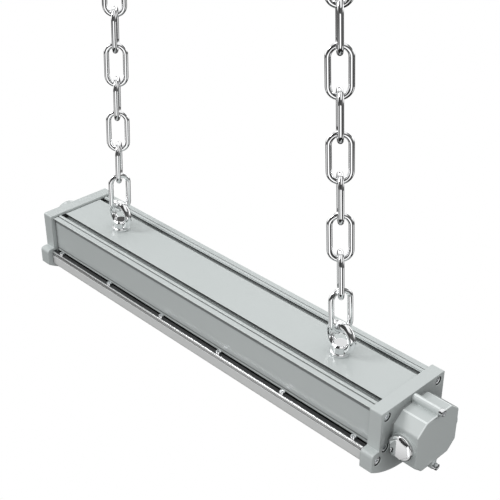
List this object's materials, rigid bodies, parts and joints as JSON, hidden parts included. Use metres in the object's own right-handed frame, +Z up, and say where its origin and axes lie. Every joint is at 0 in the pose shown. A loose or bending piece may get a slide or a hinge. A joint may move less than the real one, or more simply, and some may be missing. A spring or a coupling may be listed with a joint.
{
  "type": "hanging shop light",
  "caption": "Sealed linear LED work light with a grey extruded housing, end plates and a terminal box, hung on two polished chains from lifting eyes.",
  "frame": {"origin": "midway between the two seats where ceiling hooks carry the top chain links", "axes": "+X along the lamp towards its terminal box, +Z up, +Y towards the back"},
  "size_m": [0.717, 0.1384, 0.5761],
  "materials": {
    "grey_paint": "light grey powder coat with a soft gloss",
    "black_rubber": "matt black rubber",
    "screw_steel": "bright stainless steel",
    "frosted_lens": "frosted polycarbonate",
    "black_bar": "black coat",
    "polished_trim": "polished stainless steel",
    "tray_sheet": "plain aluminium sheet",
    "board_white": "white solder mask",
    "chip_yellow": "yellow phosphor",
    "driver_case": "plain aluminium",
    "lead_jacket": "grey jacket",
    "block_plastic": "light grey polyamide",
    "polished_steel": "polished stainless steel",
    "plain_steel": "plain stainless steel",
    "chain_steel": "electropolished stainless steel"
  },
  "bodies": {
    "root": {"chain_left_link_9": "chain_steel", "chain_right_link_9": "chain_steel"},
    "chain_left_upper": {"chain_left_link_8": "chain_steel"},
    "chain_left_run": {"chain_left_link_7": "chain_steel", "chain_left_link_6": "chain_steel", "chain_left_link_5": "chain_steel", "chain_left_link_4": "chain_steel", "chain_left_link_3": "chain_steel", "chain_left_link_2": "chain_steel"},
    "chain_left_lower": {"chain_left_link_1": "chain_steel"},
    "lamp": {"housing": "grey_paint", "end_plate_left": "grey_paint", "end_plate_right": "grey_paint", "terminal_cover": "grey_paint", "left_end_cap": "grey_paint", "end_gasket_left": "black_rubber", "end_gasket_right": "black_rubber", "lens_gasket": "black_rubber", "terminal_gasket": "black_rubber", "plug_washer": "black_rubber", "left_cap_ring": "black_rubber", "cable_bushing": "black_rubber", "plate_screws_left": "screw_steel", "plate_screws_right": "screw_steel", "clamp_screws_front": "screw_steel", "clamp_screws_back": "screw_steel", "cover_screws": "screw_steel", "tray_screws": "screw_steel", "board_screws": "screw_steel", "driver_screws": "screw_steel", "terminal_screws": "screw_steel", "lens": "frosted_lens", "clamp_bar_front": "black_bar", "clamp_bar_back": "black_bar", "edge_trim_front": "polished_trim", "edge_trim_back": "polished_trim", "light_tray": "tray_sheet", "led_boards": "board_white", "led_chips": "chip_yellow", "driver": "driver_case", "led_lead": "lead_jacket", "mains_lead": "lead_jacket", "terminal_block": "block_plastic", "blanking_plug": "polished_steel", "eye_nut_left": "polished_steel", "eye_nut_right": "polished_steel", "eye_studs": "plain_steel", "stud_plates": "plain_steel", "stud_nuts": "plain_steel"},
    "chain_right_upper": {"chain_right_link_8": "chain_steel"},
    "chain_right_run": {"chain_right_link_7": "chain_steel", "chain_right_link_6": "chain_steel", "chain_right_link_5": "chain_steel", "chain_right_link_4": "chain_steel", "chain_right_link_3": "chain_steel", "chain_right_link_2": "chain_steel"},
    "chain_right_lower": {"chain_right_link_1": "chain_steel"}
  },
  "joints": [
    {"name": "swing_across", "type": "hinge", "parent": "root", "child": "chain_left_upper", "pos_m": [-0.18505, 0, -0.0489], "axis": [1, 0, 0], "range_deg": [-20, 20]},
    {"name": "swing_along", "type": "hinge", "parent": "chain_left_upper", "child": "chain_left_run", "pos_m": [-0.18819, 0, -0.0975], "axis": [0, 1, 0], "range_deg": [-10, 10]},
    {"name": "left_lower_turn", "type": "hinge", "parent": "chain_left_run", "child": "chain_left_lower", "pos_m": [-0.20705, 0, -0.38909], "axis": [0, 1, 0], "range_deg": [-9.08, 9.08]},
    {"name": "lamp_tilt", "type": "hinge", "parent": "chain_left_lower", "child": "lamp", "pos_m": [-0.20987, 0, -0.4327], "axis": [1, 0, 0], "range_deg": [-20, 20]},
    {"name": "right_upper_turn", "type": "hinge", "parent": "root", "child": "chain_right_upper", "pos_m": [0.18505, 0, -0.0489], "axis": [1, 0, 0], "range_deg": [-20, 20]},
    {"name": "right_run_turn", "type": "hinge", "parent": "chain_right_upper", "child": "chain_right_run", "pos_m": [0.18819, 0, -0.0975], "axis": [0, 1, 0], "range_deg": [-10, 10]},
    {"name": "right_lower_turn", "type": "hinge", "parent": "chain_right_run", "child": "chain_right_lower", "pos_m": [0.20705, 0, -0.38909], "axis": [0, 1, 0], "range_deg": [-9.08, 9.08]}
  ],
  "couplings": [
    {"joint": "left_lower_turn", "follows": "swing_along", "ratio": -0.908},
    {"joint": "right_upper_turn", "follows": "swing_across", "ratio": 1},
    {"joint": "right_run_turn", "follows": "swing_along", "ratio": 1},
    {"joint": "right_lower_turn", "follows": "swing_along", "ratio": -0.908}
  ]
}
